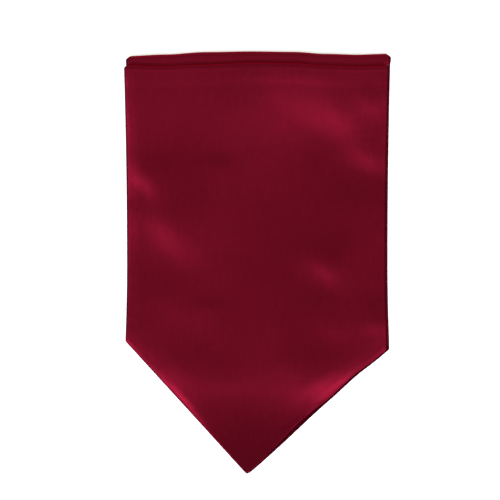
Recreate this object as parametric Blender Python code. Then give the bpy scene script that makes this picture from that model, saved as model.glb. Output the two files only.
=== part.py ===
"""Silk cravat folded flat, its first blade face up over the folded neck band and the second blade.

Run it with blender --background --python part.py, or from the text editor.
Metres, +Z up. The point lies towards -Y and the folds towards +Y. The origin is on the surface
that the cravat lies on, under the middle of its folded outline.
"""

import math
from collections import namedtuple

import bmesh
import bpy

MM = 0.001

# Cloth
PANEL = 1.0 * MM  # one satin panel with its interlining
SEAM_GAP = 0.3 * MM  # between two pieces that touch
EDGE_ROLL = 3.2 * MM  # how far in from a seam the panel reaches its full thickness
EDGE_LIP = 0.2 * MM  # what is left of a panel right at the seam

# Outline of a blade, seen from above
WAIST_HALF = 79.0 * MM  # half the width where the blade is narrowest
FLARE_TOP = 1.6 * MM  # how much wider each side is at the fold
FLARE_SHOULDER = 1.0 * MM  # and at the shoulders
WAIST_Y = 0.0 * MM
FOLD_Y = 121.0 * MM
SHOULDER_LEFT_Y = -48.2 * MM
SHOULDER_RIGHT_Y = -53.5 * MM
TIP_X = -6.35 * MM
TIP_Y = -129.0 * MM
TIP_ROUND = 0.6 * MM
POINT_ANGLE = math.radians(45)  # of either side of the point
BLADE_X = -0.65 * MM  # middle of the first blade
SLIP_X = 1.3 * MM  # the second blade lies this far to the right of the first
LIFT_Y = 0.2 * MM  # and its point ends this much higher up

# Where the right side of the point bows inwards, as a share of the way up from the tip
Hollow = namedtuple("Hollow", "at width first second")
HOLLOWS = (
    Hollow(0.35, 0.18, 2.3 * MM, 0.0 * MM),
    Hollow(0.50, 0.20, 1.3 * MM, 1.3 * MM),
    Hollow(0.76, 0.12, 1.9 * MM, 1.4 * MM),
)

# Stack, from the surface upwards
UNDER_WALL = 2.0 * MM  # the second blade, both of its panels
UNDER_ROLL = 2.8 * MM  # radius of its fold
UNDER_EDGE = 0.8 * MM  # how far its two edges round off towards the seam
UNDER_EDGE_ROLL = 1.5 * MM
UNDER_GROOVE = 0.4 * MM  # how deep the seam lies between them
TOP_ROLL = 2.7 * MM  # radius of the first blade's fold
RETURN_END_Y = 99.6 * MM  # where the folded-under ends of both blades reach
RETURN_HALF = 73.5 * MM  # half the width there

# Drape of the first blade over the stack
HEAD_Y = 111.0 * MM  # its face slopes evenly from here
FOOT_Y = -84.0 * MM  # down to here, where it lies on the second blade
FOOT_SHARE = 0.38  # how steep the slope is at its foot, as a share of its mean
SLOPE_SOFT = 6.0 * MM  # how far before and after these it turns level
STEP_DROP = 0.35 * MM  # a low step, bowed like a smile, just above the foot
STEP_Y = -74.0 * MM
STEP_RUN = 24.0 * MM
STEP_LIFT = 9.0 * MM  # how much higher up the step lies at STEP_X from the middle
STEP_X = 60.0 * MM
CURL_Y = -88.0 * MM  # from here the tip lifts off the second blade
CURL_RISE = 1.8 * MM
SIDE_SAG = 0.15  # share of the stack's height that is lost at the side edges
POINT_SAG = 0.36  # and at the point's edges
SAG_REACH = 9.0 * MM
SAG_FROM_Y = 106.0 * MM  # the fold keeps the cloth level above this
SAG_FULL_Y = 40.0 * MM

# Folded neck band between the blades
NECK_HALF = 73.0 * MM
NECK_TOP_Y = 99.3 * MM
NECK_BOTTOM_Y = -12.0 * MM
NECK_TOP_ROUND = 8.0 * MM
NECK_BOTTOM_ROUND = 25.0 * MM
NECK_CORNER_STEP = 4.0 * MM
NECK_ROOM = 0.6 * MM  # below the first blade
NECK_MIDDLE_Y = 40.0 * MM
LAYER_GROOVE = 0.9 * MM
LAYER_STEPS = (0.0, 1.3 * MM, 0.5 * MM, 1.9 * MM)  # how far each layer lies in, bottom to top
LAYER_PROFILE = ((0.25, 0.15), (0.75, 0.15), (1.0, 1.0))  # (share of a layer's height, of the groove)
LAYER_WANDER = 0.6 * MM  # how far the folded edges stray from a straight line
LAYER_WAVES = 5

FoldLine = namedtuple("FoldLine", "x first second")
FOLD_LINES = (
    FoldLine(-83 * MM, 120.6 * MM, 126.2 * MM),
    FoldLine(-60 * MM, 120.0 * MM, 127.1 * MM),
    FoldLine(-34 * MM, 120.9 * MM, 128.6 * MM),
    FoldLine(-5 * MM, 122.2 * MM, 129.0 * MM),
    FoldLine(22 * MM, 121.8 * MM, 128.7 * MM),
    FoldLine(42 * MM, 120.4 * MM, 127.5 * MM),
    FoldLine(62 * MM, 119.8 * MM, 127.0 * MM),
    FoldLine(83 * MM, 120.4 * MM, 127.6 * MM),
)

# Soft crests and dips: length along one, near and far for its flanks to the point and the fold
Swell = namedtuple("Swell", "x y length near far turn rise")
DRAPES = (  # which every layer of the first blade follows
    Swell(43 * MM, 103 * MM, 30 * MM, 15 * MM, 14 * MM, -27, 0.6 * MM),
    Swell(33 * MM, 83 * MM, 30 * MM, 50 * MM, 16 * MM, -27, -1.8 * MM),
    Swell(71 * MM, 105 * MM, 14 * MM, 9 * MM, 12 * MM, -8, 0.7 * MM),
    Swell(69 * MM, 68 * MM, 15 * MM, 10 * MM, 20 * MM, -22, 0.6 * MM),
    Swell(63 * MM, 54 * MM, 15 * MM, 20 * MM, 10 * MM, -22, -0.6 * MM),
    Swell(-45 * MM, 20 * MM, 22 * MM, 15 * MM, 30 * MM, -42, 0.9 * MM),
    Swell(-59 * MM, 4 * MM, 22 * MM, 30 * MM, 15 * MM, -42, -0.9 * MM),
    Swell(-64 * MM, 51 * MM, 12 * MM, 9 * MM, 18 * MM, -55, 0.5 * MM),
    Swell(-74 * MM, 43 * MM, 12 * MM, 16 * MM, 9 * MM, -55, -0.5 * MM),
    Swell(44 * MM, -2 * MM, 13 * MM, 9 * MM, 14 * MM, -42, 0.6 * MM),
    Swell(36 * MM, -12 * MM, 13 * MM, 18 * MM, 9 * MM, -42, -0.45 * MM),
    Swell(46 * MM, -38 * MM, 12 * MM, 9 * MM, 18 * MM, -5, 0.4 * MM),
)
SWELLS = (  # in the face panel alone, where the blade lies on the second one
    Swell(30 * MM, -74 * MM, 20 * MM, 9 * MM, 14 * MM, 27, 1.05 * MM),
)
SWELL_FROM_FOLD = 12 * MM  # both fade out towards the fold
SWELL_FROM_SEAM = 9 * MM  # and the swells towards the seams

# Fineness of the meshes
EDGE_STEPS = (0.0, 0.5 * MM, 1.5 * MM, EDGE_ROLL, 5.8 * MM, SAG_REACH)
FLAT_ROWS = 28
ROLL_ROWS = 8
RETURN_ROWS = 2
COLUMNS = 20
NECK_POINTS = 76
NECK_RINGS = (0.94, 0.84, 0.68, 0.5, 0.3)

LEVEL = math.radians(0.1)  # faces this near to level with each other become one

FLAT, ROLL, RETURN = range(3)
Station = namedtuple("Station", "run along")
Blade = namedtuple("Blade", "name slip_x lift_y roll middle up")
Material = namedtuple("Material", "colour roughness")

SATIN = Material((0.160, 0.006, 0.020), 0.38)
SATIN_REVERSE = Material((0.120, 0.005, 0.016), 0.42)
SATIN_UNDER = Material((0.140, 0.006, 0.018), 0.40)
SATIN_FOLDED = Material((0.100, 0.004, 0.013), 0.45)

TOP_BASE = 2 * UNDER_ROLL + SEAM_GAP  # the first blade's fold rests here
FIRST = Blade("first", 0.0, 0.0, TOP_ROLL, TOP_BASE + TOP_ROLL, 1)
SECOND = Blade("second", SLIP_X, LIFT_Y, UNDER_ROLL, UNDER_ROLL, -1)
TOP_HIGH = TOP_BASE + 2 * TOP_ROLL  # face of the first blade at its fold
TOP_LOW = UNDER_WALL + 2 * SEAM_GAP + 2 * PANEL  # and where it lies on the second


def ease(t):
    """0 below 0, 1 above 1, and a smooth rise between them."""
    t = min(1.0, max(0.0, t))
    return t * t * (3 - 2 * t)


def flare(y):
    if y >= WAIST_Y:
        return FLARE_TOP * ((y - WAIST_Y) / (FOLD_Y - WAIST_Y)) ** 2
    return FLARE_SHOULDER * min(1.0, (y - WAIST_Y) / (SHOULDER_LEFT_Y - WAIST_Y)) ** 2


def half_width(y):
    return WAIST_HALF + flare(y)


def point_edge(x, blade):
    """Height y of a blade's pointed edge at x, before its slip."""
    shoulder_half = WAIST_HALF + FLARE_SHOULDER
    if x < TIP_X:
        reach, shoulder_y, hollows = TIP_X - (BLADE_X - shoulder_half), SHOULDER_LEFT_Y, ()
    else:
        reach, shoulder_y, hollows = BLADE_X + shoulder_half - TIP_X, SHOULDER_RIGHT_Y, HOLLOWS
    rounded = math.hypot(x - TIP_X, TIP_ROUND) - TIP_ROUND
    whole = math.hypot(reach, TIP_ROUND) - TIP_ROUND
    share = rounded / whole
    bow = 0.0
    for hollow in hollows:
        bow += getattr(hollow, blade.name) * math.exp(-(((share - hollow.at) / hollow.width) ** 2))
    return TIP_Y + blade.lift_y + share * (shoulder_y - TIP_Y) + bow


def fold_line(x, which):
    """The far edge of a blade's fold at x, smooth through the rows of FOLD_LINES."""
    rows = FOLD_LINES
    x = min(rows[-1].x, max(rows[0].x, x))
    at = next(i for i in range(1, len(rows)) if x <= rows[i].x)
    low, high = rows[at - 1], rows[at]
    t = ease((x - low.x) / (high.x - low.x))
    return getattr(low, which) * (1 - t) + getattr(high, which) * t


def seam_distances(x, y, blade):
    """How far a place is in from the seam at its side, and from the seam at its point."""
    to_side = half_width(y) - abs(x - BLADE_X)
    to_point = (y - point_edge(x, blade)) * math.cos(POINT_ANGLE)
    return max(0.0, to_side), max(0.0, to_point)


def near_seam(distance):
    """1 at a seam and 0 from SAG_REACH in."""
    return (1 - min(1.0, distance / SAG_REACH)) ** 2


def levelled(distance):
    """0 below 0 and distance above it, with the corner between them rounded."""
    near = min(SLOPE_SOFT, max(-SLOPE_SOFT, distance)) + SLOPE_SOFT
    return near * near / (4 * SLOPE_SOFT) + max(0.0, distance - SLOPE_SOFT)


def waves(x, y, rows):
    """Sum of the soft crests and dips in rows."""
    total = 0.0
    for s in rows:
        turn = math.radians(s.turn)
        along = (x - s.x) * math.cos(turn) + (y - s.y) * math.sin(turn)
        beside = (y - s.y) * math.cos(turn) - (x - s.x) * math.sin(turn)
        width = s.near if beside < 0 else s.far
        total += s.rise * math.exp(-((along / s.length) ** 2) - (beside / width) ** 2)
    return total


def support(x, y):
    """Height of the first blade's face over the layers below, without its swells."""
    side, point = seam_distances(x, y, FIRST)
    side_sag = SIDE_SAG * ease((SAG_FROM_Y - y) / (SAG_FROM_Y - SAG_FULL_Y))
    kept = (1 - side_sag * near_seam(side)) * (1 - POINT_SAG * near_seam(point))
    up = (levelled(y - FOOT_Y) - levelled(y - HEAD_Y)) / (HEAD_Y - FOOT_Y)
    stack = (TOP_HIGH - TOP_LOW - STEP_DROP) * up * (FOOT_SHARE + (1 - FOOT_SHARE) * up)
    step_y = STEP_Y + STEP_LIFT * (x / STEP_X) ** 2
    stack += STEP_DROP * ease((y - step_y) / STEP_RUN + 0.5)
    curl = CURL_RISE * (max(0.0, CURL_Y - y) / (CURL_Y - TIP_Y)) ** 2
    from_fold = fold_line(x, FIRST.name) - FIRST.roll - y
    return TOP_LOW + stack * kept + curl + waves(x, y, DRAPES) * ease(from_fold / SWELL_FROM_FOLD)


def columns():
    """Places across a blade, from -1 at its left edge to 1 at its right, some close to the tip."""
    half = WAIST_HALF + FLARE_SHOULDER
    inner = half - EDGE_STEPS[-1]
    tip = TIP_X - BLADE_X
    near_tip = (tip - TIP_ROUND, tip, tip + TIP_ROUND)
    left_count = round(COLUMNS * (near_tip[0] + inner) / (2 * inner))
    right_count = COLUMNS - left_count
    left = [-inner + (near_tip[0] + inner) * i / left_count for i in range(left_count)]
    right = [inner - (inner - near_tip[-1]) * i / right_count for i in range(right_count)]
    places = [-half + step for step in EDGE_STEPS[:-1]] + left + list(near_tip)
    places += right[::-1] + [half - step for step in EDGE_STEPS[:-1]][::-1]
    return [x / half for x in places]


def stations():
    """Places along a blade, from its pointed edge over the fold to the end of its folded-under part."""
    flat = [Station(FLAT, -step) for step in EDGE_STEPS]
    flat += [Station(FLAT, i / FLAT_ROWS) for i in range(1, FLAT_ROWS)]
    roll = [Station(ROLL, math.pi * i / ROLL_ROWS) for i in range(ROLL_ROWS + 1)]
    back = [Station(RETURN, i / RETURN_ROWS) for i in range(1, RETURN_ROWS + 1)]
    return flat + roll + back


def flat_place(u, station, blade):
    """(x, y) on the flat run, before the blade's slip."""
    shoulder_half = WAIST_HALF + FLARE_SHOULDER
    low = point_edge(BLADE_X + u * shoulder_half, blade)
    high = fold_line(BLADE_X + u * half_width(FOLD_Y), blade.name) - blade.roll
    if station.along <= 0:
        y = low - station.along
    else:
        y = low + EDGE_STEPS[-1] + station.along * (high - low - EDGE_STEPS[-1])
    return BLADE_X + u * half_width(y), y


def blade_point(u, station, blade, depth, face):
    """A point this deep under the blade's outermost surface. face gives the flat run's height."""
    if station.run == FLAT:
        x, y = flat_place(u, station, blade)
        z = face(x, y) - blade.up * depth
        return x + blade.slip_x, y, z
    half = half_width(FOLD_Y)
    x = BLADE_X + u * half
    centre = fold_line(x, blade.name) - blade.roll
    radius = blade.roll - depth
    if station.run == ROLL:
        y = centre + radius * math.sin(station.along)
        return x + blade.slip_x, y, blade.middle + blade.up * radius * math.cos(station.along)
    narrow = (half - RETURN_HALF) * ease(station.along)
    x = BLADE_X + u * (half - narrow)
    y = centre + station.along * (RETURN_END_Y - centre)
    return x + blade.slip_x * (1 - station.along), y, blade.middle - blade.up * radius


def rounded_off(u, station, blade, most, reach):
    """How much of a panel's thickness is missing close to its sewn edge, most at the edge itself."""
    if station.run == FLAT:
        distance = min(seam_distances(*flat_place(u, station, blade), blade))
    else:
        distance = half_width(FOLD_Y) * (1 - abs(u))
    t = 1 - min(1.0, distance / reach)
    return most * (1 - math.sqrt(1 - t * t))


def satin(name, finish):
    material = bpy.data.materials.new(name)
    material.use_nodes = True
    shader = material.node_tree.nodes["Principled BSDF"]
    shader.inputs["Base Color"].default_value = (*finish.colour, 1.0)
    shader.inputs["Roughness"].default_value = finish.roughness
    shader.inputs["Metallic"].default_value = 0.0
    return material


def solid(name, mesh, finish):
    """Turns a closed bmesh into a named object with its own material."""
    bmesh.ops.recalc_face_normals(mesh, faces=mesh.faces)
    mesh.normal_update()
    bmesh.ops.dissolve_limit(mesh, angle_limit=LEVEL, verts=mesh.verts, edges=mesh.edges)
    data = bpy.data.meshes.new(name)
    mesh.to_mesh(data)
    mesh.free()
    data.shade_smooth()
    data.materials.append(satin(name, finish))
    made = bpy.data.objects.new(name, data)
    bpy.context.scene.collection.objects.link(made)
    return made


def wall(name, outer, inner, finish, rim=()):
    """A closed wall between two grids of points, with optional loops of points round its rim."""
    mesh = bmesh.new()
    rows, cols = len(outer), len(outer[0])
    skins = [[[mesh.verts.new(p) for p in row] for row in grid] for grid in (outer, inner)]
    for skin in skins:
        for j in range(rows - 1):
            for i in range(cols - 1):
                mesh.faces.new((skin[j][i], skin[j][i + 1], skin[j + 1][i + 1], skin[j + 1][i]))
    border = border_of(rows, cols)
    loops = [[skins[0][j][i] for j, i in border]]
    loops += [[mesh.verts.new(p) for p in loop] for loop in rim]
    loops.append([skins[1][j][i] for j, i in border])
    for one, other in zip(loops, loops[1:]):
        for k in range(len(border)):
            after = (k + 1) % len(border)
            mesh.faces.new((one[k], one[after], other[after], other[k]))
    return solid(name, mesh, finish)


def border_of(rows, cols):
    """The (row, column) pairs round a grid's border, in order."""
    border = [(0, i) for i in range(cols)]
    border += [(j, cols - 1) for j in range(1, rows)]
    border += [(rows - 1, i) for i in range(cols - 2, -1, -1)]
    border += [(j, 0) for j in range(rows - 2, 0, -1)]
    return border


def first_blade_grid(depth_at, top):
    return [[blade_point(u, s, FIRST, depth_at(u, s), top) for u in columns()] for s in stations()]


def blade_face():
    """Face panel of the first blade, over the fold and back under it."""

    def top(x, y):
        from_fold = fold_line(x, FIRST.name) - FIRST.roll - y
        from_seam = min(seam_distances(x, y, FIRST))
        held = ease(from_fold / SWELL_FROM_FOLD) * ease(from_seam / SWELL_FROM_SEAM)
        return support(x, y) + waves(x, y, SWELLS) * held

    def skin(u, station):
        return rounded_off(u, station, FIRST, PANEL - EDGE_LIP, EDGE_ROLL)

    outer = first_blade_grid(skin, top)
    inner = first_blade_grid(lambda u, station: PANEL, top)
    return wall("blade_face", outer, inner, SATIN)


def blade_reverse():
    """Reverse panel of the first blade, seamed to the face all round, inside its fold."""
    near, far = PANEL + SEAM_GAP, 2 * PANEL + SEAM_GAP

    def skin(u, station):
        return far - rounded_off(u, station, FIRST, PANEL - EDGE_LIP, EDGE_ROLL)

    outer = first_blade_grid(lambda u, station: near, support)
    inner = first_blade_grid(skin, support)
    return wall("blade_reverse", outer, inner, SATIN_REVERSE)


def under_blade():
    """Second blade, both panels, flat on the surface, with the line of its seam round the edge."""

    def floor(x, y):
        return 0.0

    def outside(u, station):
        return rounded_off(u, station, SECOND, UNDER_EDGE, UNDER_EDGE_ROLL)

    def inside(u, station):
        return UNDER_WALL - outside(u, station)

    rows = stations()
    across = columns()
    outer = [[blade_point(u, s, SECOND, outside(u, s), floor) for u in across] for s in rows]
    inner = [[blade_point(u, s, SECOND, inside(u, s), floor) for u in across] for s in rows]
    groove = []
    for j, i in border_of(len(rows), len(across)):
        u, station = across[i], rows[j]
        if i in (0, len(across) - 1):
            u *= 1 - UNDER_GROOVE / half_width(FOLD_Y)
        if j == 0:
            station = Station(FLAT, -UNDER_GROOVE)
        if j == len(rows) - 1:
            station = Station(RETURN, 1 - UNDER_GROOVE / (FOLD_Y - RETURN_END_Y))
        groove.append(blade_point(u, station, SECOND, UNDER_WALL / 2, floor))
    return wall("under_blade", outer, inner, SATIN_UNDER, [groove])


def neck_outline():
    """(x, y, outward x, outward y) round the folded neck band, anticlockwise."""
    corners = (
        (NECK_HALF, NECK_BOTTOM_Y, NECK_BOTTOM_ROUND, -90),
        (NECK_HALF, NECK_TOP_Y, NECK_TOP_ROUND, 0),
        (-NECK_HALF, NECK_TOP_Y, NECK_TOP_ROUND, 90),
        (-NECK_HALF, NECK_BOTTOM_Y, NECK_BOTTOM_ROUND, 180),
    )
    line = []
    for x, y, radius, start in corners:
        centre_x = x - math.copysign(radius, x)
        centre_y = y - math.copysign(radius, y)
        steps = max(3, round(radius / NECK_CORNER_STEP))
        for i in range(steps + 1):
            angle = math.radians(start + 90 * i / steps)
            out_x, out_y = math.cos(angle), math.sin(angle)
            line.append((centre_x + radius * out_x, centre_y + radius * out_y, out_x, out_y))
    return spread(line, NECK_POINTS)


def spread(line, count):
    """The closed line with points added on its longest runs until it has count of them."""
    line = list(line)
    while len(line) < count:
        spans = [math.dist(line[i][:2], line[(i + 1) % len(line)][:2]) for i in range(len(line))]
        at = spans.index(max(spans))
        one, other = line[at], line[(at + 1) % len(line)]
        line.insert(at + 1, tuple((a + b) / 2 for a, b in zip(one, other)))
    return line


def neck_layers():
    """The rest of the first blade and the pleated neck band, folded between the blades."""
    mesh = bmesh.new()
    outline = neck_outline()
    floor = UNDER_WALL + SEAM_GAP

    def ring(inset, share, shrink=1.0):
        verts = []
        for k, (x, y, out_x, out_y) in enumerate(outline):
            phase = LAYER_WAVES * (k / len(outline) + share)
            wander = LAYER_WANDER * math.sin(2 * math.pi * phase)
            px = (x - (inset + wander) * out_x) * shrink
            py = NECK_MIDDLE_Y + (y - (inset + wander) * out_y - NECK_MIDDLE_Y) * shrink
            top = support(px, py) - 2 * PANEL - SEAM_GAP - NECK_ROOM
            verts.append(mesh.verts.new((BLADE_X + px, py, floor + (top - floor) * share)))
        return verts

    rings = [ring(LAYER_STEPS[0] + LAYER_GROOVE, 0.0)]
    for layer, step in enumerate(LAYER_STEPS):
        for part, recess in LAYER_PROFILE:
            rings.append(ring(step + LAYER_GROOVE * recess, (layer + part) / len(LAYER_STEPS)))
    last = LAYER_STEPS[-1] + LAYER_GROOVE
    rings += [ring(last, 1.0, shrink) for shrink in NECK_RINGS]
    for one, other in zip(rings, rings[1:]):
        for k in range(len(one)):
            after = (k + 1) % len(one)
            mesh.faces.new((one[k], one[after], other[after], other[k]))
    mesh.faces.new(rings[0][::-1])
    mesh.faces.new(rings[-1])
    return solid("neck_layers", mesh, SATIN_FOLDED)


def main():
    for thing in list(bpy.data.objects):
        bpy.data.objects.remove(thing)
    blade_face()
    blade_reverse()
    under_blade()
    neck_layers()


main()
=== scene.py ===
"""Looks of the silk satin cravat, folded flat and seen from straight above.

Laid out as an add-on and run as a script. Metres throughout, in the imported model's frame: the point
lies towards -Y, the folds towards +Y, and the cravat rests on z = 0.
"""

import math
from collections import namedtuple

import bmesh
import bpy
import numpy as np
from bpy.props import FloatProperty, FloatVectorProperty, IntProperty, PointerProperty
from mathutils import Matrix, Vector, noise


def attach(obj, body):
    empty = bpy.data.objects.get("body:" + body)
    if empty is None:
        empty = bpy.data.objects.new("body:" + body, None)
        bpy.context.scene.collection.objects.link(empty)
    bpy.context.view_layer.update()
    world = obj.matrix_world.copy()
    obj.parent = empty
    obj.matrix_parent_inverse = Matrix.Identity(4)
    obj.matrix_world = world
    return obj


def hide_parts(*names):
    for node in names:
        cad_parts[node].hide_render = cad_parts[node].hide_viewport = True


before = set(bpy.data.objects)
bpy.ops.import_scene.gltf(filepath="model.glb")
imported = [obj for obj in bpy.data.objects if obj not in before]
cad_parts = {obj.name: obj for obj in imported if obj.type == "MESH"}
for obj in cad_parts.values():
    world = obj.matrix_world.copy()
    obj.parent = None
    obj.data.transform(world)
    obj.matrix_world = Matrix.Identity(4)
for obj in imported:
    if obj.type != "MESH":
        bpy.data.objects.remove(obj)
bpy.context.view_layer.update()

bl_info = {
    "name": "Folded silk cravat",
    "version": (1, 0, 0),
    "blender": (4, 5, 0),
    "location": "View3D > Sidebar > Cravat",
    "description": "Makes the satin blades, folds, seams and stage of a folded silk cravat",
    "category": "Object",
}

MM = 0.001
BODY = "root"

# Cloth
PANEL = 1.0 * MM  # one satin panel with its interlining
SEAM_GAP = 0.3 * MM  # between two pieces that touch
EDGE_ROLL = 0.7 * MM  # how far in from a seam a panel reaches its full thickness
EDGE_LIP = 0.2 * MM  # what is left of a panel right at the seam

# Outline of a blade, seen from above
WAIST_HALF = 79.0 * MM
FLARE_TOP = 1.6 * MM  # how much further out each side is at the fold than at the waist
FLARE_SHOULDER = 1.0 * MM  # and at the shoulders
WAIST_Y = 0.0 * MM
FOLD_Y = 121.0 * MM
SHOULDER_LEFT_Y = -48.2 * MM
SHOULDER_RIGHT_Y = -53.5 * MM
TIP_X = -6.35 * MM
TIP_Y = -129.0 * MM
TIP_ROUND = 0.6 * MM
POINT_ANGLE = math.radians(45)  # slope of the point's sides
BLADE_X = -0.65 * MM  # middle of a blade
SLIP_X = 1.3 * MM  # how far the second blade has slipped to the right
LIFT_Y = 0.2 * MM  # and towards the folds

# Where the right side of the point bows inwards: share of the way up from the tip, and how far the
# first and the second blade do
Hollow = namedtuple("Hollow", "at width first second")
HOLLOWS = (
    Hollow(0.35, 0.18, 2.3 * MM, 0.0 * MM),
    Hollow(0.50, 0.20, 1.3 * MM, 1.3 * MM),
    Hollow(0.76, 0.12, 1.9 * MM, 1.4 * MM),
)

# Stack, from the surface upwards
UNDER_WALL = 2.0 * MM  # both panels of the second blade
UNDER_ROLL = 2.8 * MM  # radius of its fold
UNDER_EDGE = 0.6 * MM  # how much each of its panels is rounded off at the seam
UNDER_EDGE_ROLL = 0.6 * MM  # and how far in
UNDER_GROOVE = 0.4 * MM  # depth of the seam's groove in its rim
TOP_ROLL = 2.7 * MM  # radius of the first blade's fold
RETURN_END_Y = 99.6 * MM  # where a blade's return under its fold ends
RETURN_HALF = 73.5 * MM  # half width of that end
FOLD_ROUND = 3.2 * MM  # radius of the corners at either end of a fold
TOP_BASE = 2 * UNDER_ROLL + SEAM_GAP  # underside of the first blade's fold
TOP_HIGH = TOP_BASE + 2 * TOP_ROLL  # its face at the fold
TOP_LOW = UNDER_WALL + 2 * SEAM_GAP + 2 * PANEL  # and at the point

# Drape of the first blade: its long slope over the stack, between these places along it
HEAD_Y = 117.0 * MM
FOOT_Y = -84.0 * MM
FOOT_SHARE = 0.38  # steepness at the foot, as a share of the mean one
SLOPE_SOFT = 6.0 * MM  # how far the bends at the head and the foot are rounded

# A low step down into the point, further down in the middle than at the sides
STEP_DROP = 0.28 * MM
STEP_Y = -74.0 * MM
STEP_RUN = 24.0 * MM
STEP_LIFT = 9.0 * MM
STEP_X = 60.0 * MM

# The tip curls up
CURL_Y = -88.0 * MM
CURL_RISE = 1.8 * MM

# The edges sag, at the sides from SAG_FROM_Y down: what share of the stack's height they lose
SIDE_SAG = 0.15
POINT_SAG = 0.36
SAG_REACH = 9.0 * MM
SAG_FROM_Y = 106.0 * MM
SAG_FULL_Y = 40.0 * MM

# The left edge droops a little more, above DROOP_Y
LEFT_DROOP = 0.42 * MM
DROOP_REACH = 9.0 * MM
DROOP_Y = -50.0 * MM
DROOP_RUN = 30.0 * MM

# Folded neck band between the blades
NECK_HALF = 73.0 * MM
NECK_TOP_Y = 99.3 * MM
NECK_BOTTOM_Y = -12.0 * MM
NECK_TOP_ROUND = 8.0 * MM
NECK_BOTTOM_ROUND = 25.0 * MM
NECK_ROOM = 0.6 * MM  # air between it and the first blade
NECK_MIDDLE_Y = 40.0 * MM
LAYER_STEPS = (0.0, 1.3 * MM, 0.5 * MM, 1.9 * MM)  # how far in each layer's edge lies
LAYER_GROOVE = 0.9 * MM  # roundness of a layer's edge
LAYER_GAP = 0.06  # share of a layer's height left open above and below it
LAYER_WANDER = 0.6 * MM  # how far its edge wanders in and out
LAYER_WAVES = 5  # and how many times
LAYER_CRINKLE = 0.24 * MM  # finer unevenness of its edge
CRINKLE_LENGTH = 9.0 * MM
CRINKLE_SEED = 5

# The seam allowance inside a blade, which shows as a low uneven ridge along its edge
RIDGE_AT = 2.3 * MM
RIDGE_HALF = 1.3 * MM
RIDGE_RISE = 0.04 * MM
RIDGE_UNEVEN = 0.35
UNEVEN_LENGTH = 24.0 * MM
UNEVEN_SEED = 3

# The rim of the point turns down outside the ridge
RIM_DROP = 0.06 * MM
RIM_REACH = 3.0 * MM

# Small puckers along the seams
PUCKER_RISE = 0.08 * MM
PUCKER_LENGTH = 7.0 * MM
PUCKER_REACH = 7.0 * MM

# The far edges of the two blades' folds
FoldLine = namedtuple("FoldLine", "x first second")
FOLD_LINES = (
    FoldLine(-83 * MM, 120.6 * MM, 126.2 * MM),
    FoldLine(-60 * MM, 120.0 * MM, 127.1 * MM),
    FoldLine(-34 * MM, 120.9 * MM, 128.6 * MM),
    FoldLine(-5 * MM, 122.2 * MM, 129.0 * MM),
    FoldLine(22 * MM, 121.8 * MM, 128.7 * MM),
    FoldLine(42 * MM, 120.4 * MM, 127.5 * MM),
    FoldLine(62 * MM, 119.8 * MM, 127.0 * MM),
    FoldLine(83 * MM, 120.4 * MM, 127.6 * MM),
)

# A swell is a soft crest, or a dip where its rise is below 0. It has a length, flanks that reach near
# towards the point and far towards the fold, and a turn in degrees. SWELLS are in the face panel alone
Swell = namedtuple("Swell", "x y length near far turn rise")
SWELLS = (
    Swell(34 * MM, -71 * MM, 20 * MM, 11 * MM, 20 * MM, 31, 1.2 * MM),
    Swell(-37 * MM, -80 * MM, 22 * MM, 12 * MM, 17 * MM, -48, 0.57 * MM),
    Swell(-43 * MM, -66 * MM, 14 * MM, 10 * MM, 18 * MM, -35, 0.38 * MM),
    Swell(-22 * MM, -72 * MM, 12 * MM, 8 * MM, 12 * MM, -10, 0.25 * MM),
)

# DRAPES are in both panels of the first blade, and the layers below lie clear of them
DRAPES = (
    Swell(0 * MM, 66 * MM, 200 * MM, 90 * MM, 34 * MM, 0, -1.4 * MM),
    Swell(38 * MM, 74 * MM, 34 * MM, 120 * MM, 21 * MM, -30, -2.0 * MM),
    Swell(72 * MM, 85 * MM, 13 * MM, 30 * MM, 16 * MM, 0, -0.5 * MM),
    Swell(69 * MM, 68 * MM, 15 * MM, 10 * MM, 20 * MM, -22, 0.6 * MM),
    Swell(63 * MM, 54 * MM, 15 * MM, 20 * MM, 10 * MM, -22, -0.6 * MM),
    Swell(-48 * MM, 22 * MM, 24 * MM, 16 * MM, 30 * MM, -45, 0.85 * MM),
    Swell(-62 * MM, 6 * MM, 24 * MM, 30 * MM, 16 * MM, -45, -0.85 * MM),
    Swell(-64 * MM, 51 * MM, 12 * MM, 9 * MM, 18 * MM, -55, 0.5 * MM),
    Swell(-74 * MM, 43 * MM, 12 * MM, 16 * MM, 9 * MM, -55, -0.5 * MM),
    Swell(44 * MM, -2 * MM, 13 * MM, 9 * MM, 14 * MM, -42, 0.6 * MM),
    Swell(36 * MM, -12 * MM, 13 * MM, 18 * MM, 9 * MM, -42, -0.45 * MM),
    Swell(46 * MM, -38 * MM, 12 * MM, 9 * MM, 18 * MM, -5, 0.4 * MM),
    Swell(-24 * MM, 58 * MM, 9 * MM, 14 * MM, 6 * MM, 0, 0.28 * MM),
    Swell(-30 * MM, -29 * MM, 9 * MM, 13 * MM, 6 * MM, 10, 0.28 * MM),
    Swell(52 * MM, 90 * MM, 12 * MM, 8 * MM, 10 * MM, -35, 0.25 * MM),
    Swell(50 * MM, 5 * MM, 30 * MM, 70 * MM, 45 * MM, 0, -0.6 * MM),
    Swell(69 * MM, 98 * MM, 10 * MM, 6 * MM, 8 * MM, -45, 0.3 * MM),
    Swell(72 * MM, -36 * MM, 9 * MM, 8 * MM, 12 * MM, -10, 0.5 * MM),
    Swell(-48 * MM, -26 * MM, 12 * MM, 8 * MM, 14 * MM, -50, 0.2 * MM),
)
SWELL_FROM_FOLD = 12.0 * MM  # swells and drapes die out over this distance
SWELL_FROM_SEAM = 5.0 * MM

# Satin's gloss, and how much of the face panel's swells its reverse follows
ROUGHNESS = 0.33
METALLIC = 0.85
REVERSE_FOLLOWS = 0.5

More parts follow.
